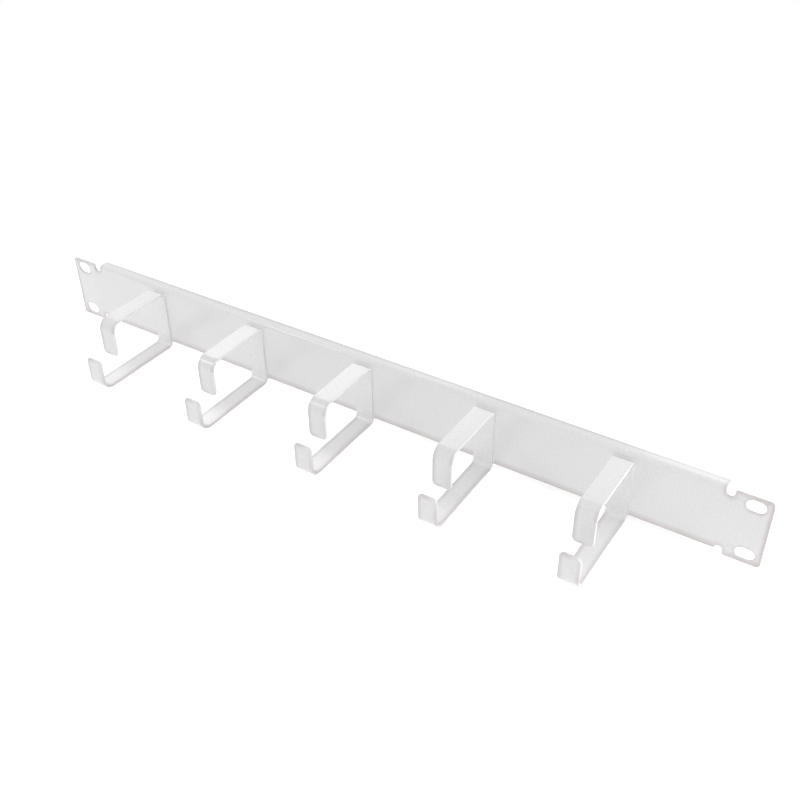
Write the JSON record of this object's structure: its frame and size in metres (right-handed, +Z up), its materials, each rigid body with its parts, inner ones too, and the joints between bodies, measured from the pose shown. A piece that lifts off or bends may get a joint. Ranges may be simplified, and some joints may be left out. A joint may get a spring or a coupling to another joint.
{
  "type": "rack cable management bar",
  "caption": "One-unit rack panel with folded edges, slotted ears and open strip rings on its front that hold patch cables.",
  "frame": {"origin": "middle of the panel's front face, at the centre of the four rack slots", "axes": "+X along the panel, +Z up, -Y to the front, where the rings stand out"},
  "size_m": [0.4826, 0.0701, 0.0445],
  "materials": {
    "powder_coat": "light grey powder coat, semi-gloss, fine texture"
  },
  "bodies": {
    "root": {"panel": "powder_coat", "ring_1": "powder_coat", "ring_2": "powder_coat", "ring_3": "powder_coat", "ring_4": "powder_coat", "ring_5": "powder_coat"}
  },
  "joints": []
}
